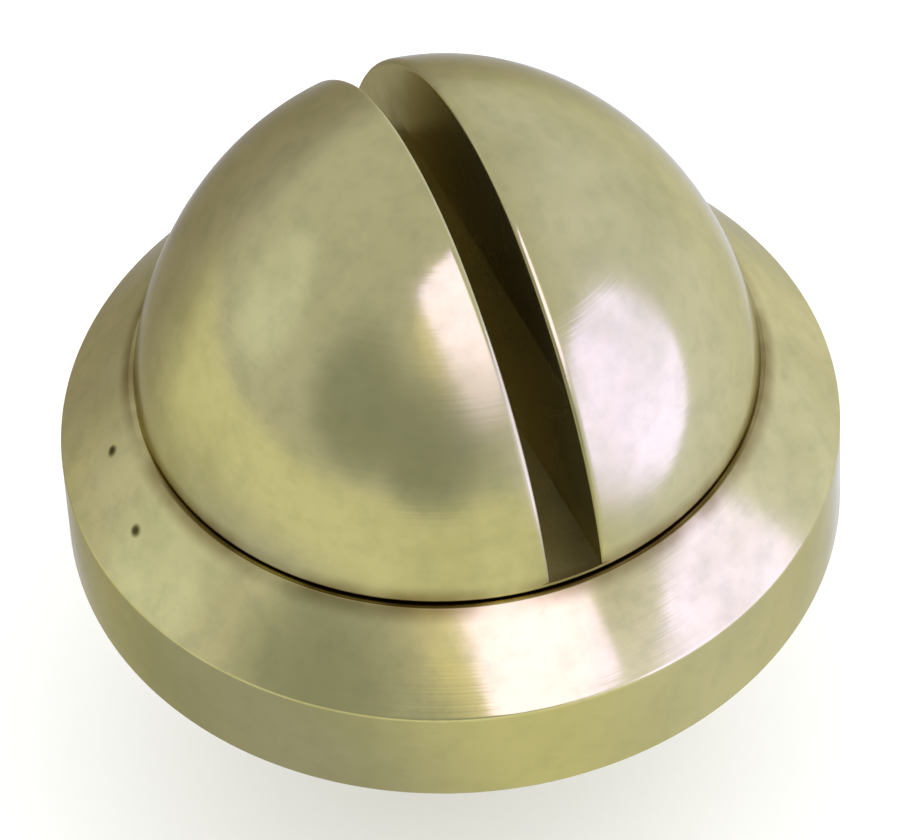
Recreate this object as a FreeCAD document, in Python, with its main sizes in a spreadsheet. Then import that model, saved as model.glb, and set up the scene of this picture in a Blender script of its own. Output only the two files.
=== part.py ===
"""Slotted brass wood screw with a tall dome head, seated in a turned brass screw cup.

Lengths are in millimetres and +Z points out of the head. The origin is on the screw's axis,
in the plane of the cup's bearing face, which is the face that lies on the work.
The driver slot runs along Y.
"""
import FreeCAD, Part
import math
import os

import Sketcher

SHEET = "Sizes"

# Every size that can be set by itself, written once.
SIZES = {
    # Screw head: a tall dome turned with two radii, a round nose on a straighter flank.
    "head_dia": 11.2,         # diameter of the dome at its base
    "dome_rise": 5.97,        # height of the dome above its base
    "nose_radius": 4.24,      # radius of the dome's nose
    "flank_radius": 7.55,     # radius of the dome's flank, tangent to the nose
    "slot_width": 1.0,        # driver slot, cut right across the dome
    "slot_lip": 0.1,          # height of the slot's floor above the dome's base
    "head_lip": 0.4,          # flat ring under the dome, outside the countersunk cone
    "sink_half_angle": 45.0,  # degrees between the countersunk cone and the axis
    # Shank and thread: number 8 cut wood thread, right-handed, 15 turns to the inch.
    "shank_dia": 4.2,         # plain shank
    "screw_length": 10.0,     # from the dome's base to the point
    "plain_length": 1.0,      # plain shank under the countersunk cone
    "runout_length": 0.45,    # cone from the plain shank down to the core
    "core_dia": 2.9,          # root of the thread
    "thread_pitch": 1.69,     # rise of the thread in one turn
    "crest_relief": 0.05,     # how far the crests stand inside the plain shank's surface
    "crest_width": 0.14,      # flat on top of the ridge
    "ridge_width": 0.62,      # thickness of the ridge where it leaves the core
    "ridge_root": 0.1,        # radius inside the core that the ridge is rooted at
    "point_length": 3.0,      # tapered end of the screw
    "point_dia": 0.3,         # blunt end of the point
    "point_ridge": 0.1,       # height of the ridge where it reaches the point
    # Screw cup: flat bearing face, straight rim, conical top face, countersunk seat.
    "cup_dia": 14.0,
    "cup_floor": 0.5,         # wall left around the shank below the seat
    "rim_height": 2.1,        # top of the straight rim
    "mouth_land": 0.08,       # ledge of the cup that shows outside the dome's base
    "edge_break": 0.08,       # small chamfer round the bearing face
    # Clearances between the screw and the cup.
    "shank_clearance": 0.1,   # radial, shank to the cup's hole
    "seat_clearance": 0.07,   # radial, countersunk cone to the cup's seat
    "seam_gap": 0.05,         # axial, dome's base to the top of the cup
}

# Sizes that follow from the ones above, as formulas of the sheet.
FORMULAS = {
    "on_axis": "0",
    "head_radius": "=head_dia / 2",
    "sink_radius": "=head_radius - head_lip",
    "shank_radius": "=shank_dia / 2",
    "core_radius": "=core_dia / 2",
    "crest_radius": "=shank_radius - crest_relief",
    "point_radius": "=point_dia / 2",
    "sink_slope": "=tan(sink_half_angle * 1deg)",
    "sink_depth": "=(sink_radius - shank_radius) / sink_slope",
    "base_level": "=cup_floor + sink_depth",
    "top_level": "=base_level + dome_rise",
    "slot_half": "=slot_width / 2",
    "slot_floor": "=base_level + slot_lip",
    "slot_open": "=top_level + slot_width",
    "plain_end": "=cup_floor - plain_length",
    "core_start": "=plain_end - runout_length",
    "tip_level": "=base_level - screw_length",
    "point_start": "=tip_level + point_length",
    # The ridge is swept from a pitch below the point up into the plain shank.
    "thread_start": "=tip_level - thread_pitch",
    "thread_height": "=plain_end + ridge_width - thread_start",
    "ridge_low": "=thread_start - ridge_width / 2",
    "ridge_high": "=thread_start + ridge_width / 2",
    "crest_low": "=thread_start - crest_width / 2",
    "crest_high": "=thread_start + crest_width / 2",
    # The cut that tapers the ridge to the point clears everything swept below it.
    "taper_radius": "=point_radius + point_ridge",
    "taper_outside": "=shank_radius + thread_pitch",
    "taper_floor": "=thread_start - thread_pitch",
    "cup_radius": "=cup_dia / 2",
    "cup_break": "=cup_radius - edge_break",
    "cup_height": "=base_level - seam_gap",
    "bearing_level": "0",
    "land_radius": "=head_radius + mouth_land",
    "mouth_radius": "=sink_radius + seat_clearance - seam_gap * sink_slope",
    "hole_radius": "=shank_radius + shank_clearance",
    "seat_bottom": "=cup_height - (mouth_radius - hole_radius) / sink_slope",
}


def make_sheet(doc):
    """Spreadsheet with the driving sizes and the formulas, each cell under its own name."""
    sheet = doc.addObject("Spreadsheet::Sheet", SHEET)
    contents = {name: str(size) for name, size in SIZES.items()} | FORMULAS
    for row, (name, content) in enumerate(contents.items(), start=1):
        sheet.set(f"A{row}", name)
        sheet.set(f"B{row}", content)
        sheet.setAlias(f"B{row}", name)
    doc.recompute()
    return sheet


def origin_feature(body, role):
    """A plane or an axis of a body's own origin, found by its role."""
    return next(feature for feature in body.Origin.OriginFeatures if feature.Role == role)


def front_sketch(body, name):
    """New sketch in a body's XZ plane: its X is the distance from the axis, its Y the height."""
    sketch = body.newObject("Sketcher::SketchObject", name)
    sketch.AttachmentSupport = (origin_feature(body, "XZ_Plane"), [""])
    sketch.MapMode = "FlatFace"
    return sketch


def spot(sheet, cells):
    """Point of a front sketch whose radius and height are the two named cells."""
    radius, level = cells
    return FreeCAD.Vector(sheet.get(radius), sheet.get(level), 0)


def tie(sketch, sheet, edge, end, cells):
    """Bind one end of an edge to its two cells."""
    place = spot(sheet, cells)
    if cells[0] == "on_axis":
        sketch.addConstraint(Sketcher.Constraint("PointOnObject", edge, end, -2))
    else:
        across = Sketcher.Constraint("DistanceX", -1, 1, edge, end, place.x)
        sketch.setExpression(f"Constraints[{sketch.addConstraint(across)}]", f"{SHEET}.{cells[0]}")
    if cells[1] == "bearing_level":
        sketch.addConstraint(Sketcher.Constraint("PointOnObject", edge, end, -1))
    else:
        upward = Sketcher.Constraint("DistanceY", -1, 1, edge, end, place.y)
        sketch.setExpression(f"Constraints[{sketch.addConstraint(upward)}]", f"{SHEET}.{cells[1]}")


def chain(sketch, sheet, corners):
    """Straight edges from corner to corner, each corner bound to its cells; gives the edges."""
    spots = [spot(sheet, cells) for cells in corners]
    edges = [sketch.addGeometry(Part.LineSegment(here, there), False)
             for here, there in zip(spots, spots[1:])]
    for before, after in zip(edges, edges[1:]):
        sketch.addConstraint(Sketcher.Constraint("Coincident", before, 2, after, 1))
    for edge, cells in zip(edges, corners):
        tie(sketch, sheet, edge, 1, cells)
    tie(sketch, sheet, edges[-1], 2, corners[-1])
    return edges


def outline(sketch, sheet, corners):
    """Closed outline of straight edges, each corner bound to its cells."""
    edges = chain(sketch, sheet, corners)
    back = sketch.addGeometry(
        Part.LineSegment(spot(sheet, corners[-1]), spot(sheet, corners[0])), False)
    sketch.addConstraint(Sketcher.Constraint("Coincident", edges[-1], 2, back, 1))
    sketch.addConstraint(Sketcher.Constraint("Coincident", back, 2, edges[0], 1))


def dome_arcs(sketch, sheet, rim_edge, axis_edge):
    """Flank and nose arcs of the dome, tangent to each other, from its rim to its top.

    rim_edge starts at the dome's rim and axis_edge ends at its top.
    """
    nose_radius, flank_radius = sheet.get("nose_radius"), sheet.get("flank_radius")
    rim = spot(sheet, ("head_radius", "base_level"))
    nose_centre = FreeCAD.Vector(0, sheet.get("top_level") - nose_radius, 0)
    # The flank's centre is flank_radius from the rim and the radii's difference from the nose's.
    across = nose_centre - rim
    reach = across.Length
    along = (flank_radius ** 2 - (flank_radius - nose_radius) ** 2 + reach ** 2) / (2 * reach)
    aside = math.sqrt(flank_radius ** 2 - along ** 2)
    unit = across / reach
    flank_centre = rim + unit * along + FreeCAD.Vector(-unit.y, unit.x, 0) * aside
    joint = math.atan2(nose_centre.y - flank_centre.y, nose_centre.x - flank_centre.x)
    start = math.atan2(rim.y - flank_centre.y, rim.x - flank_centre.x)
    normal = FreeCAD.Vector(0, 0, 1)
    flank = sketch.addGeometry(
        Part.ArcOfCircle(Part.Circle(flank_centre, normal, flank_radius), start, joint), False)
    nose = sketch.addGeometry(
        Part.ArcOfCircle(Part.Circle(nose_centre, normal, nose_radius), joint, math.pi / 2), False)
    sketch.addConstraint(Sketcher.Constraint("Coincident", rim_edge, 1, flank, 1))
    sketch.addConstraint(Sketcher.Constraint("Tangent", flank, 2, nose, 1))
    sketch.addConstraint(Sketcher.Constraint("Coincident", nose, 2, axis_edge, 2))
    sketch.addConstraint(Sketcher.Constraint("PointOnObject", nose, 3, -2))
    for arc, name in ((flank, "flank_radius"), (nose, "nose_radius")):
        radius = Sketcher.Constraint("Radius", arc, sheet.get(name))
        sketch.setExpression(f"Constraints[{sketch.addConstraint(radius)}]", f"{SHEET}.{name}")


def revolve(body, kind, name, sketch):
    """Full turn of a front sketch about the body's Z axis, added or cut."""
    feature = body.newObject(kind, name)
    feature.Profile = sketch
    feature.ReferenceAxis = (origin_feature(body, "Z_Axis"), [""])
    feature.Angle = 360
    return feature


def changed(doc, body, before, feature, sign):
    """Recompute, and stop unless the feature added (+1) or removed (-1) material."""
    doc.recompute()
    if sign * (body.Shape.Volume - before) <= 0:
        raise RuntimeError(f"{feature.Name} changed nothing")
    return body.Shape.Volume


def make_screw(doc, sheet):
    """Dome head screw: turned blank, wood thread, tapered point, driver slot."""
    body = doc.addObject("PartDesign::Body", "Screw")
    body.Label = "dome_head_screw"

    blank_sketch = front_sketch(body, "BlankSketch")
    under_head = chain(blank_sketch, sheet, [
        ("head_radius", "base_level"),
        ("sink_radius", "base_level"),
        ("shank_radius", "cup_floor"),
        ("shank_radius", "plain_end"),
        ("core_radius", "core_start"),
        ("core_radius", "point_start"),
        ("point_radius", "tip_level"),
        ("on_axis", "tip_level"),
        ("on_axis", "top_level"),
    ])
    dome_arcs(blank_sketch, sheet, under_head[0], under_head[-1])
    blank = revolve(body, "PartDesign::Revolution", "Blank", blank_sketch)
    volume = changed(doc, body, 0.0, blank, 1)

    ridge_sketch = front_sketch(body, "RidgeSketch")
    outline(ridge_sketch, sheet, [
        ("ridge_root", "ridge_low"),
        ("core_radius", "ridge_low"),
        ("crest_radius", "crest_low"),
        ("crest_radius", "crest_high"),
        ("core_radius", "ridge_high"),
        ("ridge_root", "ridge_high"),
    ])
    thread = body.newObject("PartDesign::AdditiveHelix", "Thread")
    thread.Profile = ridge_sketch
    thread.ReferenceAxis = (origin_feature(body, "Z_Axis"), [""])
    thread.Mode = "pitch-height-angle"
    thread.setExpression("Pitch", f"{SHEET}.thread_pitch")
    thread.setExpression("Height", f"{SHEET}.thread_height")
    volume = changed(doc, body, volume, thread, 1)

    taper_sketch = front_sketch(body, "TaperSketch")
    outline(taper_sketch, sheet, [
        ("shank_radius", "point_start"),
        ("taper_radius", "tip_level"),
        ("on_axis", "tip_level"),
        ("on_axis", "taper_floor"),
        ("taper_outside", "taper_floor"),
        ("taper_outside", "point_start"),
    ])
    taper = revolve(body, "PartDesign::Groove", "PointTaper", taper_sketch)
    volume = changed(doc, body, volume, taper, -1)

    slot_sketch = front_sketch(body, "SlotSketch")
    slot_edges(slot_sketch, sheet)
    slot = body.newObject("PartDesign::Pocket", "DriverSlot")
    slot.Profile = slot_sketch
    slot.SideType = "Two sides"
    slot.Type = "ThroughAll"
    slot.Type2 = "ThroughAll"
    changed(doc, body, volume, slot, -1)
    return body


def slot_edges(sketch, sheet):
    """Section of the driver slot, symmetric about the axis."""
    half, floor, ceiling = (sheet.get(name) for name in ("slot_half", "slot_floor", "slot_open"))
    corners = [FreeCAD.Vector(x, y, 0) for x, y in
               ((-half, floor), (half, floor), (half, ceiling), (-half, ceiling))]
    edges = [sketch.addGeometry(Part.LineSegment(here, there), False)
             for here, there in zip(corners, corners[1:] + corners[:1])]
    for before, after in zip(edges, edges[1:] + edges[:1]):
        sketch.addConstraint(Sketcher.Constraint("Coincident", before, 2, after, 1))
    sketch.addConstraint(Sketcher.Constraint("Horizontal", edges[2]))
    for edge in edges[1::2]:
        sketch.addConstraint(Sketcher.Constraint("Vertical", edge))
    sketch.addConstraint(Sketcher.Constraint("Symmetric", edges[0], 1, edges[0], 2, -2))
    width = Sketcher.Constraint("DistanceX", edges[0], 1, edges[0], 2, 2 * half)
    sketch.setExpression(f"Constraints[{sketch.addConstraint(width)}]", f"{SHEET}.slot_width")
    for edge, name in ((edges[0], "slot_floor"), (edges[2], "slot_open")):
        level = Sketcher.Constraint("DistanceY", -1, 1, edge, 1, sheet.get(name))
        sketch.setExpression(f"Constraints[{sketch.addConstraint(level)}]", f"{SHEET}.{name}")


def make_cup(doc, sheet):
    """Screw cup: solid turned collar with a countersunk seat and a hole for the shank."""
    body = doc.addObject("PartDesign::Body", "Cup")
    body.Label = "screw_cup"
    section = front_sketch(body, "CupSketch")
    outline(section, sheet, [
        ("hole_radius", "bearing_level"),
        ("cup_break", "bearing_level"),
        ("cup_radius", "edge_break"),
        ("cup_radius", "rim_height"),
        ("land_radius", "cup_height"),
        ("mouth_radius", "cup_height"),
        ("hole_radius", "seat_bottom"),
    ])
    turned = revolve(body, "PartDesign::Revolution", "Turned", section)
    changed(doc, body, 0.0, turned, 1)
    return body


def write_parts(doc, pieces):
    """Check every object of the document, then write each piece to its own STEP file."""
    doc.recompute()
    for item in doc.Objects:
        if {"Invalid", "Error"} & set(item.State):
            raise RuntimeError(f"{item.Name} failed: {item.State}")
    for piece in pieces:
        shape = piece.Shape
        if shape.isNull() or not shape.isValid() or len(shape.Solids) != 1:
            raise RuntimeError(f"{piece.Label} isn't one valid solid")
    os.makedirs("parts", exist_ok=True)
    for piece in pieces:
        piece.Shape.exportStep(f"parts/{piece.Label}.step")
        print(f"{piece.Label}: {piece.Shape.Volume:.2f} mm3")


document = FreeCAD.newDocument("DomeHeadScrew")
sizes = make_sheet(document)
write_parts(document, [make_cup(document, sizes), make_screw(document, sizes)])
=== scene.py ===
import logging
import math
from dataclasses import dataclass, field
from enum import Enum

import bmesh
import bpy
from mathutils import Matrix, Vector


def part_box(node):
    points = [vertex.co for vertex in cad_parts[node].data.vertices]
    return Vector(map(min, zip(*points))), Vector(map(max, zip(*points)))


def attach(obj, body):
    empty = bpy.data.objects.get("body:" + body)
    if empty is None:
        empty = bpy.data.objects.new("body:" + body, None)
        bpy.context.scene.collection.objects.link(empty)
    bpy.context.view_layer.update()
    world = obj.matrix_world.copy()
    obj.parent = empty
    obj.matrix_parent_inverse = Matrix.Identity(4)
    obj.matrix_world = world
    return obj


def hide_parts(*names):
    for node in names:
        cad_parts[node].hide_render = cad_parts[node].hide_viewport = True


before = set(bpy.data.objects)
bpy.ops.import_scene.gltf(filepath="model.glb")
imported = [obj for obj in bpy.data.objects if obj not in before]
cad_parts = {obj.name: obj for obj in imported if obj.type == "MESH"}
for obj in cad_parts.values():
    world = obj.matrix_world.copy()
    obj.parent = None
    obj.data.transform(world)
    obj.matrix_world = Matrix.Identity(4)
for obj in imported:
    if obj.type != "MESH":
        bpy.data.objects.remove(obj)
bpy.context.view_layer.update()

LOG = logging.getLogger("wood_screw")
MM = 0.001
Point = tuple[float, float]
Spot = tuple[float, float, float]


# ---------------------------------------------------------------- small tools

def linear(hex_colour: str) -> tuple[float, float, float, float]:
    """Turn an sRGB hex colour into the linear colour that Blender's sockets hold.

    Args:
        hex_colour: Six hex digits, with or without a leading hash.

    Returns:
        Red, green, blue and an alpha of one.
    """
    digits = hex_colour.lstrip("#")
    channels = [int(digits[start:start + 2], 16) / 255 for start in (0, 2, 4)]
    toned = [c / 12.92 if c <= 0.04045 else ((c + 0.055) / 1.055) ** 2.4 for c in channels]
    return (*toned, 1.0)


def per_size(size_mm: float) -> float:
    """Give the texture scale, in cells to the metre, of a pattern whose cells are size_mm wide."""
    return 1.0 / (size_mm * MM)


def corner_point(name: str, high: bool) -> Vector:
    """Give a CAD node's lowest or highest corner in millimetres."""
    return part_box(name)[1 if high else 0] / MM


def add_node(tree: bpy.types.NodeTree, kind: str, settings: dict | None = None,
             links: dict | None = None) -> bpy.types.Node:
    """Add one node with its settings and links.

    Args:
        tree: The tree that the node goes in.
        kind: The node's type name.
        settings: Properties of the node, by name.
        links: Input sockets, by name or number, each with the output socket that feeds it
            or the constant that it holds.

    Returns:
        The new node.
    """
    node = tree.nodes.new(kind)
    for name, value in (settings or {}).items():
        setattr(node, name, value)
    for key, source in (links or {}).items():
        if isinstance(source, bpy.types.NodeSocket):
            tree.links.new(source, node.inputs[key])
        else:
            node.inputs[key].default_value = source
    return node


def arithmetic(tree: bpy.types.NodeTree, operation: str, *terms: object,
               clamp: bool = False) -> bpy.types.NodeSocket:
    """Add a Math node and give its result.

    Args:
        tree: The tree that the node goes in.
        operation: The Math node's operation.
        terms: Its inputs in order, each a socket or a number.
        clamp: Whether the result is held between zero and one.

    Returns:
        The result's socket.
    """
    node = add_node(tree, "ShaderNodeMath", {"operation": operation, "use_clamp": clamp},
                    dict(enumerate(terms)))
    return node.outputs[0]


def span(tree: bpy.types.NodeTree, value: object, start: object, end: object,
         smooth: bool = True) -> bpy.types.NodeSocket:
    """Fade from zero at start to one at end, held outside.

    Args:
        tree: The tree that the node goes in.
        value: The socket that is faded.
        start: Value that gives zero.
        end: Value that gives one.
        smooth: Whether the fade eases in and out.

    Returns:
        The result's socket.
    """
    node = add_node(tree, "ShaderNodeMapRange",
                    {"interpolation_type": "SMOOTHSTEP" if smooth else "LINEAR"},
                    {"Value": value, "From Min": start, "From Max": end})
    return node.outputs["Result"]


def mix(tree: bpy.types.NodeTree, factor: object, first: object,
        second: object) -> bpy.types.NodeSocket:
    """Mix two colours by a factor and give the result's socket."""
    node = add_node(tree, "ShaderNodeMix", {"data_type": "RGBA"},
                    {0: factor, 6: first, 7: second})
    return node.outputs[2]


# ---------------------------------------------------------------- turned outlines

@dataclass(frozen=True)
class Corner:
    """Corner of a turned outline: distance from the axis, height and rounding, in mm."""

    radius: float
    level: float
    rounding: float = 0.0


def rounded(corners: list[Corner], steps: int = 5) -> list[Point]:
    """Follow an open outline and round its inner corners with arcs.

    Args:
        corners: The outline's corners in order; the first and the last stay sharp.
        steps: Segments of each arc.

    Returns:
        Points of the outline, each a radius and a level in mm.
    """
    points = [(corners[0].radius, corners[0].level)]
    for before, here, after in zip(corners, corners[1:], corners[2:]):
        tip = Vector((here.radius, here.level))
        back = (Vector((before.radius, before.level)) - tip).normalized()
        ahead = (Vector((after.radius, after.level)) - tip).normalized()
        if here.rounding == 0.0:
            points.append(tuple(tip))
            continue
        half = back.angle(ahead) / 2
        middle = tip + (back + ahead).normalized() * (here.rounding / math.sin(half))
        reach = here.rounding / math.tan(half)
        first, last = tip + back * reach - middle, tip + ahead * reach - middle
        for step in range(steps + 1):
            direction = first.lerp(last, step / steps).normalized()
            points.append(tuple(middle + direction * here.rounding))
    points.append((corners[-1].radius, corners[-1].level))
    return points


class Shell:
    """Mesh gathered from grids of points, which are sewn where their edges meet."""

    SEW = 0.0004   # mm within which points become one
    SHARP = 38.0   # degrees between faces beyond which an edge stays sharp

    def __init__(self) -> None:
        """Start with nothing."""
        self.mesh = bmesh.new()

    def grid(self, rows: list[list[Spot]], closed: bool = False) -> None:
        """Add a grid of four-sided faces.

        Args:
            rows: Rows of points in mm, all as long as each other.
            closed: Whether each row's last point joins its first.
        """
        made = [[self.mesh.verts.new(Vector(spot) * MM) for spot in row] for row in rows]
        count = len(made[0])
        for upper, lower in zip(made, made[1:]):
            for here in range(count if closed else count - 1):
                there = (here + 1) % count
                self.mesh.faces.new((upper[here], upper[there], lower[there], lower[here]))

    def plate(self, outline: list[Spot]) -> None:
        """Add one flat face inside a closed outline."""
        self.mesh.faces.new([self.mesh.verts.new(Vector(spot) * MM) for spot in outline])

    def absorb(self, other: bpy.types.Mesh) -> None:
        """Take another mesh in and remove it from the file."""
        self.mesh.from_mesh(other)
        bpy.data.meshes.remove(other)

    def finish(self, name: str, material: bpy.types.Material) -> bpy.types.Object:
        """Sew the grids, close what is open and make the object.

        Args:
            name: Name of the object and its mesh.
            material: The finish of all its faces.

        Returns:
            The finished object, in the scene.
        """
        bmesh.ops.remove_doubles(self.mesh, verts=self.mesh.verts, dist=self.SEW * MM)
        loose = [edge for edge in self.mesh.edges if not edge.link_faces]
        bmesh.ops.delete(self.mesh, geom=loose, context="EDGES")
        rims = [edge for edge in self.mesh.edges if len(edge.link_faces) == 1]
        bmesh.ops.holes_fill(self.mesh, edges=rims, sides=0)
        bmesh.ops.recalc_face_normals(self.mesh, faces=self.mesh.faces)
        for face in self.mesh.faces:
            face.smooth = True
        mesh = bpy.data.meshes.new(name)
        open_edges = sum(len(edge.link_faces) != 2 for edge in self.mesh.edges)
        self.mesh.to_mesh(mesh)
        self.mesh.free()
        mesh.set_sharp_from_angle(angle=math.radians(self.SHARP))
        mesh.materials.append(material)
        piece = bpy.data.objects.new(name, mesh)
        bpy.context.scene.collection.objects.link(piece)
        weighted = piece.modifiers.new("even_shading", "WEIGHTED_NORMAL")
        weighted.keep_sharp = True
        LOG.info("%s: %d faces, %d open edges", name, len(mesh.polygons), open_edges)
        return piece


def around(points: list[Point], angles: list[float]) -> list[list[Spot]]:
    """Turn an outline about the Z axis.

    Args:
        points: Radius and level of each point, in mm.
        angles: The angles, in radians, that every ring has a point at.

    Returns:
        A row of spots for each point of the outline.
    """
    return [[(radius * math.cos(angle), radius * math.sin(angle), level) for angle in angles]
            for radius, level in points]


# ---------------------------------------------------------------- finishes

class Marks(Enum):
    """Which way a tool's marks run on a face."""

    TURNED = "rings round the axis"
    SAWN = "lines along the slot"


@dataclass(frozen=True)
class Brass:
    """Pale free-cutting brass, turned on an automatic lathe and left bare.

    Such a brass holds more zinc than a golden one, so it is pale and slightly green. Bare,
    it goes dull in uneven patches, and brown where two pieces meet. The brown in a slot is painted
    shade, and a straight wall can be painted darker as a painted darker reflection.
    """

    name: str
    clean: str = "#bfb57e"
    # colour of the dull patches, and of the painted darker reflection on a straight wall
    dull_and_painted_shade: str = "#9b945e"
    green: str = "#929263"
    brown: str = "#6b5426"
    dirt: str = "#4a4322"
    rim_tint: str = "#e0dabf"    # colour of the metal seen edge-on
    roughness: float = 0.13
    dull_roughness: float = 0.12  # more roughness where the metal is dull
    sawn_roughness: float = 0.1   # more roughness in the slot
    sawn_grime: float = 0.04      # share of the slot that isn't bare metal
    cloud_mm: float = 3.4        # width of the dull patches
    dull_and_shade_strength: float = 0.55        # how far the dull patches, and the painted darker wall, change the colour
    fleck_mm: float = 0.45       # width of the fine mottling
    mottling: float = 0.26
    seam_brown: float = 0.75     # how brown the joint is; the next two give the slot's painted shade and the thread's brown
    # painted shade: brown standing in for the shade deep inside the sawn slot
    slot_painted_shade: float = 0.32
    thread_brown: float = 0.18
    feed_mm: float = 0.09        # spacing of the turning marks, coarsened so that they show
    mark_depth_mm: float = 0.0011
    pits: tuple[Spot, ...] = ()  # middles of the small pits, where dirt stays
    pit_mm: float = 0.1
    pit_depth: float = 8.0       # in depths of a turning mark
    slot_half_mm: float = 0.0    # half the width of a sawn slot, or none
    slot_floor_mm: float = 0.0
    seam_mm: float = 0.0         # level of the joint between the two pieces
    seam_radius_mm: float = 0.0
    thread_top_mm: float = -99.0
    painted_dim_wall_mm: float = -99.0  # top of a straight wall painted darker, as a painted reflection of the dim floor

    def build(self) -> bpy.types.Material:
        """Make the material.

        Returns:
            The material, on Object coordinates.
        """
        material = bpy.data.materials.new(self.name)
        material.use_nodes = True
        tree = material.node_tree
        tree.nodes.clear()
        place = add_node(tree, "ShaderNodeTexCoord").outputs["Object"]
        parts = add_node(tree, "ShaderNodeSeparateXYZ", None, {0: place})
        across, along, level = parts.outputs
        radius = arithmetic(tree, "SQRT", arithmetic(
            tree, "ADD", arithmetic(tree, "MULTIPLY", across, across),
            arithmetic(tree, "MULTIPLY", along, along)))
        slot = self.slot_mask(tree, across, level)
        seam = self.seam_mask(tree, radius, level)
        colour, wear = self.patina(tree, place, slot, seam, level)
        pits = self.pit_mask(tree, place)
        colour = mix(tree, pits, colour, linear(self.dirt))
        rough = arithmetic(tree, "MULTIPLY_ADD", wear, self.dull_roughness, self.roughness)
        rough = arithmetic(tree, "MULTIPLY_ADD", slot, self.sawn_roughness, rough)
        metal = arithmetic(tree, "MULTIPLY_ADD", slot, -self.sawn_grime, 1.0)
        bump = self.tool_marks(tree, radius, across, level, slot, pits)
        shader = add_node(tree, "ShaderNodeBsdfPrincipled", None, {
            "Base Color": colour, "Metallic": metal, "Roughness": rough,
            "Specular Tint": linear(self.rim_tint), "Normal": bump})
        add_node(tree, "ShaderNodeOutputMaterial", None, {"Surface": shader.outputs[0]})
        return material

    def slot_mask(self, tree: bpy.types.NodeTree, across: object, level: object) -> object:
        """Give one inside the sawn slot and zero elsewhere."""
        if self.slot_half_mm == 0.0:
            return 0.0
        half, edge = self.slot_half_mm * MM, 0.03 * MM
        inside = span(tree, arithmetic(tree, "ABSOLUTE", across), half + 2 * edge, half + edge / 2)
        floor = self.slot_floor_mm * MM
        above = span(tree, level, floor - edge, floor)
        return arithmetic(tree, "MULTIPLY", inside, above)

    def seam_mask(self, tree: bpy.types.NodeTree, radius: object,
                  level: object) -> bpy.types.NodeSocket:
        """Give one at the joint between dome and cup, fading to zero away from it."""
        rise = arithmetic(tree, "SUBTRACT", level, self.seam_mm * MM)
        out = arithmetic(tree, "SUBTRACT", radius, self.seam_radius_mm * MM)
        away = arithmetic(tree, "SQRT", arithmetic(
            tree, "ADD", arithmetic(tree, "MULTIPLY", rise, rise),
            arithmetic(tree, "MULTIPLY", out, out)))
        return span(tree, away, 0.42 * MM, 0.06 * MM)

    def patina(self, tree: bpy.types.NodeTree, place: object, slot: object, seam: object,
               level: object) -> tuple[bpy.types.NodeSocket, bpy.types.NodeSocket]:
        """Colour the metal with its dull patches, green mottling, brown joint and thread, painted
        shade in the slot and a painted darker reflection on a straight wall.

        Args:
            tree: The material's tree.
            place: Object coordinates.
            slot: The slot's mask.
            seam: The seam's mask.
            level: Height above the bearing face, in metres.

        Returns:
            The colour, and how dull it is from zero to one.
        """
        clouds = add_node(tree, "ShaderNodeTexNoise", None, {
            "Vector": place, "Scale": per_size(self.cloud_mm), "Detail": 4.0,
            "Roughness": 0.55}).outputs["Fac"]
        flecks = add_node(tree, "ShaderNodeTexNoise", None, {
            "Vector": place, "Scale": per_size(self.fleck_mm), "Detail": 3.0,
            "Roughness": 0.6}).outputs["Fac"]
        dull = span(tree, clouds, 0.40, 0.68)
        mottle = arithmetic(tree, "MULTIPLY", span(tree, flecks, 0.40, 0.75), self.mottling)
        colour = mix(tree, arithmetic(tree, "MULTIPLY", dull, self.dull_and_shade_strength),
                     linear(self.clean), linear(self.dull_and_painted_shade))
        colour = mix(tree, mottle, colour, linear(self.green))
        # Painted darker reflection: everything below the straight wall's top is darkened, standing
        # in for the dim floor that it mirrors.
        wall = self.painted_dim_wall_mm * MM
        plain = arithmetic(tree, "MULTIPLY", span(tree, level, wall, wall - 0.08 * MM),
                           self.dull_and_shade_strength)
        colour = mix(tree, plain, colour, linear(self.dull_and_painted_shade))
        uneven = arithmetic(tree, "MULTIPLY", seam, span(tree, clouds, 0.30, 0.62))
        # The slot's share of this brown is painted shade of the recess; the joint's and the
        # thread's brown is the metal's own.
        brown = arithmetic(tree, "MAXIMUM", arithmetic(tree, "MULTIPLY", uneven, self.seam_brown),
                           arithmetic(tree, "MULTIPLY", slot, self.slot_painted_shade))
        thread = span(tree, level, self.thread_top_mm * MM, (self.thread_top_mm - 0.6) * MM)
        brown = arithmetic(tree, "MAXIMUM", brown,
                           arithmetic(tree, "MULTIPLY", thread, self.thread_brown))
        return mix(tree, brown, colour, linear(self.brown)), dull

    def pit_mask(self, tree: bpy.types.NodeTree, place: object) -> object:
        """Give one in the finish's small pits and zero elsewhere."""
        mask: object = 0.0
        for middle in self.pits:
            away = add_node(tree, "ShaderNodeVectorMath", {"operation": "DISTANCE"}, {
                0: place, 1: tuple(size * MM for size in middle)}).outputs["Value"]
            spot = span(tree, away, self.pit_mm * 1.6 * MM, self.pit_mm * 0.4 * MM)
            mask = arithmetic(tree, "MAXIMUM", mask, spot)
        return mask

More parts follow.
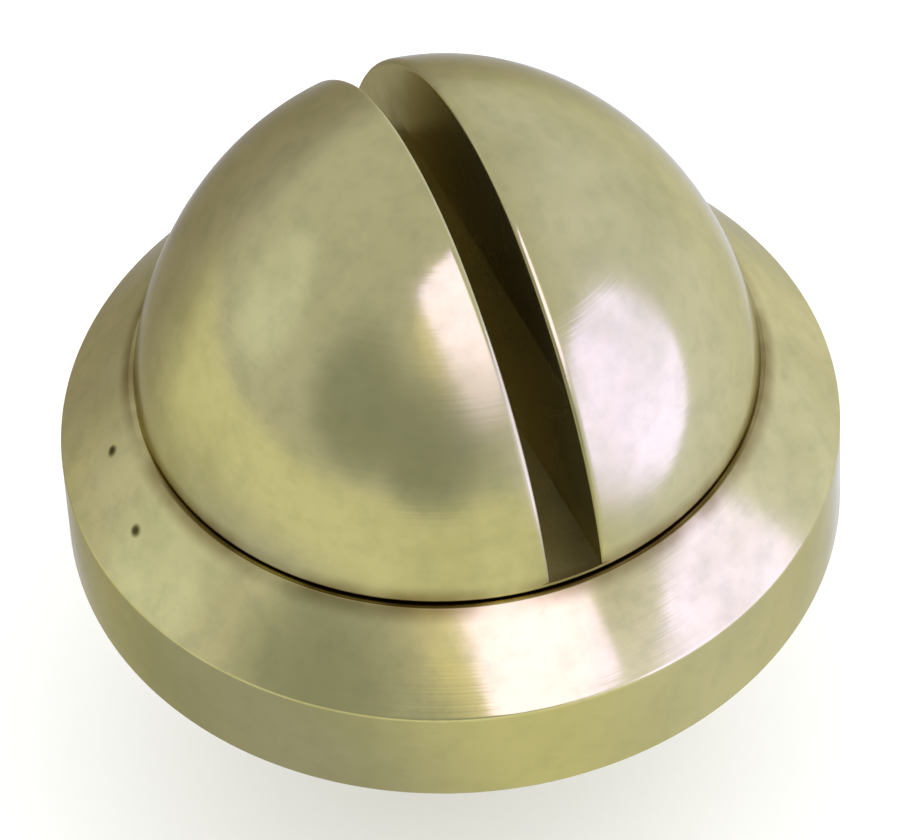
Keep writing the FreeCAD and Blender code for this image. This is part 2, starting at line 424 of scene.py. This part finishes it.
    def tool_marks(self, tree: bpy.types.NodeTree, radius: object, across: object,
                   level: object, slot: object, pits: object) -> bpy.types.NodeSocket:
        """Bump the face with rings from the lathe, lines from the slotting saw, and pits.

        Args:
            tree: The material's tree.
            radius: Distance from the axis, in metres.
            across: Distance from the slot's middle, in metres.
            level: Height, in metres.
            slot: The slot's mask.
            pits: The pits' mask.

        Returns:
            The bumped normal.
        """
        heights = {}
        for marks in Marks:
            first = radius if marks is Marks.TURNED else across
            where = add_node(tree, "ShaderNodeCombineXYZ", None, {0: first, 1: level})
            heights[marks] = add_node(tree, "ShaderNodeTexNoise", None, {
                "Vector": where.outputs[0], "Scale": per_size(self.feed_mm),
                "Detail": 2.0, "Roughness": 0.5}).outputs["Fac"]
        ridge = add_node(tree, "ShaderNodeMix", {"data_type": "FLOAT"}, {
            0: slot, 2: heights[Marks.TURNED], 3: heights[Marks.SAWN]}).outputs[0]
        height = arithmetic(tree, "SUBTRACT", ridge,
                            arithmetic(tree, "MULTIPLY", pits, self.pit_depth))
        return add_node(tree, "ShaderNodeBump", None, {
            "Strength": 1.0, "Distance": self.mark_depth_mm * MM,
            "Height": height}).outputs[0]


# ---------------------------------------------------------------- wood thread

@dataclass(frozen=True)
class WoodThread:
    """Shank of the screw from the head's cone to the point: plain, then threaded. In mm."""

    top: float
    tip: float
    shank_radius: float = 2.1
    core_radius: float = 1.45
    crest_radius: float = 2.05
    plain_end: float = -0.5
    runout: float = 0.45
    pitch: float = 1.69
    ridge: float = 0.62
    crest: float = 0.14
    point_length: float = 3.0
    point_radius: float = 0.15
    point_ridge: float = 0.1
    rows_per_turn: int = 48

    def lengths(self) -> dict[str, float]:
        """Give the named lengths that the tree takes, in metres."""
        taper = self.point_radius + self.point_ridge
        sizes = {
            "Top": self.top, "Tip": self.tip, "Pitch": self.pitch,
            "Shank radius": self.shank_radius, "Core radius": self.core_radius,
            "Crest radius": self.crest_radius, "Point radius": self.point_radius,
            "Taper radius": taper, "Point start": self.tip + self.point_length,
            "Plain end": self.plain_end, "Core start": self.plain_end - self.runout,
            "Ridge half": self.ridge / 2, "Crest half": self.crest / 2,
        }
        return {name: size * MM for name, size in sizes.items()}

    def counts(self, columns: int) -> dict[str, int]:
        """Give the named counts that the tree takes."""
        turns = math.ceil((self.top - self.tip) / self.pitch) + 2
        return {"Columns": columns, "Turns": turns, "Rows per turn": self.rows_per_turn}

    def tree(self, columns: int, material: bpy.types.Material) -> bpy.types.NodeTree:
        """Build the node tree that winds the thread.

        A sheet of faces is rolled into a tube whose rows climb one pitch a turn, so that each
        row keeps its place on the ridge's section all along the helix.

        Args:
            columns: Points round the shank.
            material: The finish that the tree sets.

        Returns:
            The tree, with its sizes as named inputs.
        """
        tree = bpy.data.node_groups.new("wood_thread", "GeometryNodeTree")
        face = tree.interface
        for name in self.counts(columns):
            face.new_socket(name=name, in_out="INPUT", socket_type="NodeSocketInt")
        for name in self.lengths():
            face.new_socket(name=name, in_out="INPUT", socket_type="NodeSocketFloat")
        face.new_socket(name="Finish", in_out="INPUT", socket_type="NodeSocketMaterial")
        face.new_socket(name="Geometry", in_out="OUTPUT", socket_type="NodeSocketGeometry")
        given = add_node(tree, "NodeGroupInput").outputs
        rows = arithmetic(tree, "MULTIPLY", given["Turns"], given["Rows per turn"])
        sheet = add_node(tree, "GeometryNodeMeshGrid", None, {
            "Size X": 1.0, "Size Y": 1.0,
            "Vertices X": arithmetic(tree, "ADD", given["Columns"], 1.0),
            "Vertices Y": arithmetic(tree, "ADD", rows, 1.0)})
        flat = add_node(tree, "ShaderNodeSeparateXYZ", None, {
            0: add_node(tree, "GeometryNodeInputPosition").outputs[0]})
        turned = arithmetic(tree, "ADD", flat.outputs[0], 0.5)
        climbed = arithmetic(tree, "MULTIPLY", given["Turns"],
                             arithmetic(tree, "ADD", flat.outputs[1], 0.5))
        radius, level = self.section(tree, given, turned, climbed)
        angle = arithmetic(tree, "MULTIPLY", turned, math.tau)
        spot = add_node(tree, "ShaderNodeCombineXYZ", None, {
            0: arithmetic(tree, "MULTIPLY", radius, arithmetic(tree, "COSINE", angle)),
            1: arithmetic(tree, "MULTIPLY", radius, arithmetic(tree, "SINE", angle)),
            2: level})
        wound = add_node(tree, "GeometryNodeSetPosition", None, {
            "Geometry": sheet.outputs["Mesh"], "Position": spot.outputs[0]})
        sewn = add_node(tree, "GeometryNodeMergeByDistance", None, {
            "Geometry": wound.outputs[0], "Distance": Shell.SEW * MM})
        real = add_node(tree, "GeometryNodeRealizeInstances", None, {0: sewn.outputs[0]})
        dressed = add_node(tree, "GeometryNodeSetMaterial", None, {
            "Geometry": real.outputs[0], "Material": given["Finish"]})
        add_node(tree, "NodeGroupOutput", None, {0: dressed.outputs[0]})
        self.fill(tree, columns, material)
        return tree

    def section(self, tree: bpy.types.NodeTree, given: object, turned: object,
                climbed: object) -> tuple[bpy.types.NodeSocket, bpy.types.NodeSocket]:
        """Work out where a point of the sheet lies on the threaded shank.

        Args:
            tree: The thread's tree.
            given: The tree's inputs.
            turned: How far round the point is, in turns.
            climbed: How far up the sheet it is, in pitches.

        Returns:
            Its distance from the axis and its level.
        """
        start = arithmetic(tree, "SUBTRACT", given["Tip"], given["Pitch"])
        free = arithmetic(tree, "MULTIPLY_ADD", arithmetic(tree, "ADD", turned, climbed),
                          given["Pitch"], start)
        level = arithmetic(tree, "MINIMUM", given["Top"],
                           arithmetic(tree, "MAXIMUM", given["Tip"], free))
        # Rows past an end stop where their own line crosses it, so that sewing closes them up.
        risen = arithmetic(tree, "DIVIDE", arithmetic(tree, "SUBTRACT", level, start),
                           given["Pitch"])
        off_ridge = arithmetic(tree, "PINGPONG", arithmetic(tree, "SUBTRACT", risen, turned), 0.5)
        aside = arithmetic(tree, "MULTIPLY", off_ridge, given["Pitch"])
        rise = span(tree, aside, given["Ridge half"], given["Crest half"])
        cone = self.ramp(tree, level, (given["Tip"], given["Point start"]),
                         (given["Point radius"], given["Core radius"]))
        shoulder = self.ramp(tree, level, (given["Core start"], given["Plain end"]),
                             (given["Core radius"], given["Shank radius"]))
        above = arithmetic(tree, "GREATER_THAN", level, given["Core start"])
        core = add_node(tree, "ShaderNodeMix", {"data_type": "FLOAT"}, {
            0: above, 2: cone, 3: shoulder}).outputs[0]
        taper = self.ramp(tree, level, (given["Tip"], given["Point start"]),
                          (given["Taper radius"], given["Shank radius"]))
        crest = arithmetic(tree, "MINIMUM", taper, given["Crest radius"])
        height = arithmetic(tree, "MAXIMUM", arithmetic(tree, "SUBTRACT", crest, core), 0.0)
        return arithmetic(tree, "MULTIPLY_ADD", rise, height, core), level

    def ramp(self, tree: bpy.types.NodeTree, value: object, ends: tuple[object, object],
             results: tuple[object, object]) -> bpy.types.NodeSocket:
        """Run straight from one result to another between two ends, held outside them."""
        node = add_node(tree, "ShaderNodeMapRange", {"clamp": True}, {
            "Value": value, "From Min": ends[0], "From Max": ends[1],
            "To Min": results[0], "To Max": results[1]})
        return node.outputs["Result"]

    def fill(self, tree: bpy.types.NodeTree, columns: int,
             material: bpy.types.Material) -> None:
        """Set the inputs' own defaults, so that the tree shows its sizes wherever it is used."""
        values = {**self.counts(columns), **self.lengths(), "Finish": material}
        for item in tree.interface.items_tree:
            if item.in_out == "INPUT":
                item.default_value = values[item.name]

    def wind(self, columns: int, material: bpy.types.Material) -> bpy.types.Mesh:
        """Run the tree and give its mesh.

        Args:
            columns: Points round the shank.
            material: The finish.

        Returns:
            A plain mesh, open at the top.
        """
        tree = self.tree(columns, material)
        holder = bpy.data.objects.new("thread_blank", bpy.data.meshes.new("thread_blank"))
        bpy.context.scene.collection.objects.link(holder)
        winding = holder.modifiers.new("winding", "NODES")
        winding.node_group = tree
        values = {**self.counts(columns), **self.lengths(), "Finish": material}
        for item in tree.interface.items_tree:
            if item.in_out == "INPUT":
                winding[item.identifier] = values[item.name]
        ready = holder.evaluated_get(bpy.context.evaluated_depsgraph_get())
        mesh = bpy.data.meshes.new_from_object(ready)
        holder.modifiers.remove(winding)
        bpy.data.objects.remove(holder)
        return mesh


# ---------------------------------------------------------------- the two pieces

@dataclass
class DomeHeadScrew:
    """Turned wood screw with a tall slotted dome, on a countersunk cone. In mm."""

    head_radius: float
    tip: float
    base: float = 3.6
    dome_rise: float = 5.97
    nose_radius: float = 4.24
    flank_radius: float = 7.55
    slot_half: float = 0.5
    slot_lip: float = 0.1
    head_lip: float = 0.4
    cone_end: float = 0.5
    shank_radius: float = 2.1
    edge_round: float = 0.16     # how far the slot's rounded edge reaches over the dome
    lip_round: float = 0.05
    half_columns: int = 60       # faces round each half of the dome
    end_columns: int = 4         # faces across each end of the slot
    dome_rows: int = 110
    edge_steps: int = 6

    def dress(self) -> bpy.types.Material:
        """Make the screw's finish, with its slot, seam and thread in place."""
        # Polished dome with a sawn slot: bright on the dome, dull in the slot, and brown there as
        # painted shade.
        finish = Brass("turned_bare_brass_screw", slot_half_mm=self.slot_half,
                       slot_floor_mm=self.base + self.slot_lip, seam_mm=self.base,
                       seam_radius_mm=self.head_radius, thread_top_mm=WoodThread.plain_end)
        return finish.build()

    def outline(self) -> list[Point]:
        """Follow the dome from beside the slot at its top to the slot's floor.

        Returns:
            Radius and level of each row, evenly spaced along the dome.
        """
        nose = Vector((0.0, self.base + self.dome_rise - self.nose_radius))
        rim = Vector((self.head_radius, self.base))
        across = nose - rim
        reach = across.length
        inner = self.flank_radius - self.nose_radius
        along = (self.flank_radius ** 2 - inner ** 2 + reach ** 2) / (2 * reach)
        aside = math.sqrt(self.flank_radius ** 2 - along ** 2)
        unit = across / reach
        flank = rim + unit * along + Vector((-unit.y, unit.x)) * aside
        joint = math.atan2(nose.y - flank.y, nose.x - flank.x)
        top = math.acos((self.slot_half + self.edge_round) / self.nose_radius)
        floor = math.asin((self.base + self.slot_lip - flank.y) / self.flank_radius)
        nose_length = (top - joint) * self.nose_radius
        whole = nose_length + (joint - floor) * self.flank_radius
        points = []
        for row in range(self.dome_rows + 1):
            gone = whole * row / self.dome_rows
            if gone <= nose_length:
                centre, size, angle = nose, self.nose_radius, top - gone / self.nose_radius
            else:
                centre, size = flank, self.flank_radius
                angle = joint - (gone - nose_length) / self.flank_radius
            points.append((centre.x + size * math.cos(angle), centre.y + size * math.sin(angle)))
        return points

    def rim_strip(self, radius: float, level: float, slope: float, side: int) -> list[Spot]:
        """Round the slot's edge over from the dome to the slot's wall.

        Args:
            radius: The row's distance from the axis.
            level: The row's level.
            slope: Fall of the dome per mm away from the axis, as a negative number.
            side: Which end of the slot, -1 or +1.

        Returns:
            Points from the dome to the wall.
        """
        start = self.slot_half + self.edge_round
        along = side * math.sqrt(max(radius ** 2 - start ** 2, 0.0))
        peak = level - self.edge_round * slope * start / radius
        dome = Vector((start, along, level))
        edge = Vector((self.slot_half, along, peak))
        wall = Vector((self.slot_half, along, peak - self.edge_round))
        points = []
        for step in range(self.edge_steps + 1):
            share = step / self.edge_steps
            blend = dome.lerp(edge, share).lerp(edge.lerp(wall, share), share)
            blend.z = max(blend.z, self.base + self.slot_lip)
            points.append(tuple(blend))
        return points

    def half_dome(self, shell: Shell, points: list[Point], way: int) -> list[list[Spot]]:
        """Add one side of the dome, its rounded slot edges and its slot wall.

        Args:
            shell: The mesh being gathered.
            points: The dome's outline.
            way: +1 for the half on the +X side, -1 for the other, turned half round.

        Returns:
            The edge strips at the slot's floor, for the -Y and the +Y end of the +X half.
        """
        start = self.slot_half + self.edge_round
        skin, strips = [], {-1: [], 1: []}
        for row, (radius, level) in enumerate(points):
            limit = math.acos(min(start / radius, 1.0))
            angles = [limit * (2 * column / self.half_columns - 1)
                      for column in range(self.half_columns + 1)]
            skin.extend(around([(radius, level)], angles))
            after = points[min(row + 1, len(points) - 1)]
            before = points[max(row - 1, 0)]
            slope = (after[1] - before[1]) / (after[0] - before[0])
            for side in strips:
                strip = self.rim_strip(radius, level, slope, side)
                if row == len(points) - 1:
                    strip = [(x, y, level) for x, y, _ in strip]
                strips[side].append(strip)
        wall = [[low[-1], high[-1]] for low, high in zip(strips[-1], strips[1])]
        for rows in (skin, strips[-1], strips[1], wall):
            shell.grid([[(way * x, way * y, z) for x, y, z in row] for row in rows])
        return [strips[-1][-1], strips[1][-1]]

    def ring_angles(self, radius: float, evenness: float) -> list[float]:
        """Spread a full ring's points, by the slot's edges at zero evenness.

        Args:
            radius: The ring's radius where it meets the slot's edges.
            evenness: Zero to line up with the slot, one for equal spacing.

        Returns:
            The ring's angles in radians, in order.
        """
        limit = math.acos((self.slot_half + self.edge_round) / radius)
        runs = ((-limit, limit, self.half_columns), (limit, math.pi - limit, self.end_columns),
                (math.pi - limit, math.pi + limit, self.half_columns),
                (math.pi + limit, math.tau - limit, self.end_columns))
        fitted = [low + (high - low) * step / count
                  for low, high, count in runs for step in range(count)]
        equal = math.tau / len(fitted)
        return [angle + (equal * (index - self.half_columns / 2) - angle) * evenness
                for index, angle in enumerate(fitted)]

    def under_head(self, shell: Shell, radius: float, floor: float) -> None:
        """Add the dome's foot below the slot's floor, the flat ring and the cone.

        Args:
            shell: The mesh being gathered.
            radius: The dome's radius at the slot's floor.
            floor: The slot's floor.
        """
        outline = rounded([
            Corner(radius, floor),
            Corner(self.head_radius, self.base, self.lip_round),
            Corner(self.head_radius - self.head_lip, self.base, 0.02),
            Corner(self.shank_radius, self.cone_end),
        ])
        cone = [Vector(outline[-2]).lerp(Vector(outline[-1]), step / 24) for step in range(1, 24)]
        outline[-1:-1] = [tuple(point) for point in cone]
        rows = []
        for spot_radius, level in outline:
            evenness = min(max((floor - level) / (floor - self.cone_end), 0.0), 1.0)
            angles = self.ring_angles(radius, evenness)
            rows.extend(around([(spot_radius, level)], angles))
        shell.grid(rows, closed=True)

    def slot_floor(self, shell: Shell, radius: float, floor: float,
                   strips: list[list[Spot]]) -> None:
        """Add the slot's flat floor.

        Args:
            shell: The mesh being gathered.
            radius: The dome's radius at the floor.
            floor: The floor's level.
            strips: The edge strips of the +X half at the floor, -Y end first.
        """
        angles = self.ring_angles(radius, 0.0)
        first = self.half_columns
        ending = around([(radius, floor)], angles[first + 1:first + self.end_columns])[0]
        turned = [(-x, -y, z) for x, y, z in strips[0]]
        half = list(reversed(strips[1])) + ending + turned
        shell.plate(half + [(-x, -y, z) for x, y, z in half])

    def build(self) -> bpy.types.Object:
        """Make the whole screw as one closed piece.

        Returns:
            The finished object.
        """
        material = self.dress()
        shell = Shell()
        points = self.outline()
        radius, floor = points[-1]
        strips = self.half_dome(shell, points, 1)
        self.half_dome(shell, points, -1)
        self.slot_floor(shell, radius, floor, strips)
        self.under_head(shell, radius, floor)
        thread = WoodThread(top=self.cone_end, tip=self.tip, shank_radius=self.shank_radius)
        shell.absorb(thread.wind(2 * (self.half_columns + self.end_columns), material))
        return shell.finish("turned_screw", material)


@dataclass
class ScrewCup:
    """Solid turned cup that the screw's cone sits in. In mm."""

    radius: float
    height: float
    rim_height: float = 2.1
    land_radius: float = 5.68    # outside and inside of the ledge round the dome's foot
    mouth_radius: float = 5.22
    land: float = 0.08           # how far the ledge shows outside the dome
    hole_radius: float = 2.2
    seat_bottom: float = 0.53
    hole_middle: float = 0.3     # level in the hole at which the outline closes
    foot_break: float = 0.08
    pits: tuple[Spot, ...] = ((-6.3, -0.6, 2.83), (-6.02, 1.13, 3.05))
    columns: int = 192

    def dress(self) -> bpy.types.Material:
        """Make the cup's finish, brown where the dome's edge meets it, and painted darker below
        the top of its straight wall as a painted reflection.
        """
        # Same bar stock as the screw but less polished: slightly duller and greener.
        finish = Brass("turned_bare_brass_cup", clean="#c9be82", dull_and_painted_shade="#a69e66",
                       roughness=0.11, pits=self.pits, seam_mm=self.height,
                       seam_radius_mm=self.land_radius - self.land, painted_dim_wall_mm=self.rim_height)
        return finish.build()

    def build(self) -> bpy.types.Object:
        """Turn the cup from its outline.

        Returns:
            The finished object.
        """
        foot = self.radius - self.foot_break
        outline = rounded([
            Corner(self.hole_radius, self.hole_middle),
            Corner(self.hole_radius, 0.0, 0.05),
            Corner(foot, 0.0, 0.03),
            Corner(self.radius, self.foot_break, 0.03),
            Corner(self.radius, self.rim_height, 0.1),
            Corner(self.land_radius, self.height, 0.03),
            Corner(self.mouth_radius, self.height, 0.04),
            Corner(self.hole_radius, self.seat_bottom, 0.04),
            Corner(self.hole_radius, self.hole_middle),
        ])
        angles = [math.tau * column / self.columns for column in range(self.columns)]
        shell = Shell()
        shell.grid(around(outline, angles), closed=True)
        return shell.finish("turned_cup", self.dress())


# ---------------------------------------------------------------- studio

class BoxShape(Enum):
    """Outline of a softbox."""

    OBLONG = "RECTANGLE"
    ROUND = "ELLIPSE"


@dataclass(frozen=True)
class Softbox:
    """Flat light, placed by the direction that it is seen in from the object.

    Angles are in degrees: turn is measured from the camera to its right, rise from the floor,
    width and height across the light, and lean anticlockwise as the object sees it.
    """

    name: str
    turn: float
    rise: float
    width: float
    height: float
    colour: tuple[float, float, float]
    radiance: float
    lean: float = 0.0
    shape: BoxShape = BoxShape.OBLONG
    distance: float = 0.25


@dataclass(frozen=True)
class TentPatch:
    """Round patch of the tent that is lighter or darker than the rest. Angles in degrees."""

    turn: float
    rise: float
    inner: float
    outer: float
    colour: str


@dataclass
class Studio:
    """Pale floor, light tent and camera round the object."""

    floor_level: float
    camera_turn: float = -21.4
    camera_rise: float = 48.5
    camera_roll: float = 3.3
    camera_distance: float = 135.8   # mm
    lens: float = 299.0              # mm on a 36 mm wide sensor
    aim_up: float = 1.36             # mm the camera aims above the origin, in its own view
    floor_gap: float = 0.02          # mm of air under the screw's point
    floor_half: float = 3.0          # m from the middle of the floor to its edge
    board: str = "#f4f4f2"
    tent_strength: float = 2.5
    tent_high: str = "#999ca8"
    tent_low: str = "#adb0ab"        # light that the table throws back
    tent_matt: str = "#c4c4c4"       # what the matt floor is lit by
    backdrop: str = "#ffffff"
    lamp_strength: float = 0.45
    lamp_spread: float = 40.0        # degrees
    lamp_turn: float = 75.0
    lamp_rise: float = 55.0
    softboxes: list[Softbox] = field(default_factory=lambda: [
        Softbox("window_softbox", 18, 45, 30, 44, (0.33, 0.285, 1.0), 3.2, lean=20),
        Softbox("side_softbox", 69, 3, 54, 50, (0.29, 0.26, 1.0), 2.5, shape=BoxShape.ROUND),
    ])
    patches: list[TentPatch] = field(default_factory=lambda: [
        TentPatch(115, -15, 30, 80, "#b1b6d3"),
        TentPatch(-155, -15, 15, 50, "#7c7c88"),
        TentPatch(-75, -62, 12, 48, "#888c9e"),
        TentPatch(-92, 20, 8, 20, "#aab0bf"),
        TentPatch(15, 44, 18, 26, "#b8b5a8"),
        TentPatch(48, 6, 12, 30, "#bfc1f1"),
        TentPatch(-38, 22, 11, 24, "#787e86"),
        TentPatch(-8, 13, 12, 24, "#787e86"),
    ])

    def direction(self, turn: float, rise: float) -> Vector:
        """Give the unit vector from the object in a direction counted from the camera."""
        flat = math.radians(self.camera_turn + turn)
        up = math.radians(rise)
        return Vector((math.sin(flat) * math.cos(up), -math.cos(flat) * math.cos(up),
                       math.sin(up)))

    def camera(self) -> None:
        """Place the camera and make it the scene's."""
        toward = self.direction(0.0, self.camera_rise)
        right = Vector((0, 0, 1)).cross(toward).normalized()
        up = toward.cross(right)
        aim = up * self.aim_up * MM
        data = bpy.data.cameras.new("camera")
        data.lens, data.sensor_width, data.sensor_fit = self.lens, 36.0, "HORIZONTAL"
        data.clip_start, data.clip_end = 0.01, 20.0
        camera = bpy.data.objects.new("camera", data)
        turned = Matrix((right, up, toward)).transposed()
        turned = turned @ Matrix.Rotation(math.radians(-self.camera_roll), 3, "Z")
        camera.matrix_world = Matrix.Translation(
            aim + toward * self.camera_distance * MM) @ turned.to_4x4()
        bpy.context.scene.collection.objects.link(camera)
        bpy.context.scene.camera = camera

    def floor(self) -> None:
        """Lay a wide matt white floor under the screw's point."""
        material = bpy.data.materials.new("matt_white_board")
        material.use_nodes = True
        shader = material.node_tree.nodes["Principled BSDF"]
        shader.inputs["Base Color"].default_value = linear(self.board)
        shader.inputs["Roughness"].default_value = 0.9
        shader.inputs["Specular IOR Level"].default_value = 0.1
        half, level = self.floor_half, (self.floor_level - self.floor_gap) * MM
        mesh = bpy.data.meshes.new("floor")
        corners = [(x * half, y * half, level) for x, y in ((-1, -1), (1, -1), (1, 1), (-1, 1))]
        mesh.from_pydata(corners, [], [(0, 1, 2, 3)])
        mesh.materials.append(material)
        floor = bpy.data.objects.new("floor", mesh)
        bpy.context.scene.collection.objects.link(floor)
        floor.visible_glossy = False
        floor.visible_shadow = False

    def light(self, box: Softbox) -> None:
        """Hang one softbox, which only the polished metal sees."""
        data = bpy.data.lights.new(box.name, "AREA")
        data.shape = box.shape.value
        data.size = 2 * box.distance * math.tan(math.radians(box.width / 2))
        data.size_y = 2 * box.distance * math.tan(math.radians(box.height / 2))
        data.color = box.colour
        data.energy = box.radiance * math.pi * data.size * data.size_y
        lamp = bpy.data.objects.new(box.name, data)
        toward = self.direction(box.turn, box.rise)
        lamp.location = toward * box.distance
        lean = Matrix.Rotation(math.radians(box.lean), 3, toward)
        facing = toward.to_track_quat("Z", "Y").to_matrix()
        lamp.rotation_euler = (lean @ facing).to_euler()
        lamp.visible_diffuse = False
        lamp.visible_camera = False
        bpy.context.scene.collection.objects.link(lamp)

    def tent(self) -> None:
        """Surround the object with a pale tent that has lighter and darker patches."""
        world = bpy.data.worlds.new("light_tent")
        world.use_nodes = True
        tree = world.node_tree
        tree.nodes.clear()
        way = add_node(tree, "ShaderNodeTexCoord").outputs["Generated"]
        height = add_node(tree, "ShaderNodeSeparateXYZ", None, {0: way}).outputs[2]
        above = span(tree, height, -0.08, 0.02)
        shade = mix(tree, above, linear(self.tent_low), linear(self.tent_high))
        for patch in self.patches:
            centre = self.direction(patch.turn, patch.rise)
            near = add_node(tree, "ShaderNodeVectorMath", {"operation": "DOT_PRODUCT"},
                            {0: way, 1: tuple(centre)}).outputs["Value"]
            share = span(tree, near, math.cos(math.radians(patch.outer)),
                         math.cos(math.radians(patch.inner)))
            shade = mix(tree, share, shade, linear(patch.colour))
        path = add_node(tree, "ShaderNodeLightPath")
        shade = mix(tree, path.outputs["Is Diffuse Ray"], shade, linear(self.tent_matt))
        shade = mix(tree, path.outputs["Is Camera Ray"], shade, linear(self.backdrop))
        glow = add_node(tree, "ShaderNodeBackground", None, {
            "Color": shade, "Strength": self.tent_strength})
        add_node(tree, "ShaderNodeOutputWorld", None, {"Surface": glow.outputs[0]})
        bpy.context.scene.world = world

    def key(self) -> None:
        """Add the overhead lamp that brightens the floor and gives a soft shadow."""
        data = bpy.data.lights.new("overhead", "SUN")
        data.energy = self.lamp_strength
        data.angle = math.radians(self.lamp_spread)
        lamp = bpy.data.objects.new("overhead", data)
        toward = self.direction(self.lamp_turn, self.lamp_rise)
        lamp.rotation_euler = toward.to_track_quat("Z", "Y").to_euler()
        lamp.visible_glossy = False
        bpy.context.scene.collection.objects.link(lamp)

    def build(self) -> None:
        """Set the whole studio up."""
        self.camera()
        self.floor()
        self.tent()
        self.key()
        for box in self.softboxes:
            self.light(box)
        bpy.context.scene.view_settings.view_transform = "Standard"


def main() -> None:
    """Build the studio and the two pieces, and seat each on its CAD body."""
    logging.basicConfig(level=logging.INFO, format="%(name)s: %(message)s")
    Studio(floor_level=corner_point("dome_head_screw", False).z).build()

    cup_top = corner_point("screw_cup", True)
    cup = ScrewCup(radius=cup_top.x, height=cup_top.z).build()
    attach(cup, "cup")
    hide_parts("screw_cup")

    screw_low = corner_point("dome_head_screw", False)
    screw_top = corner_point("dome_head_screw", True)
    screw = DomeHeadScrew(head_radius=screw_top.x, tip=screw_low.z).build()
    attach(screw, "screw")
    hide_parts("dome_head_screw")


if __name__ == "__main__":
    main()
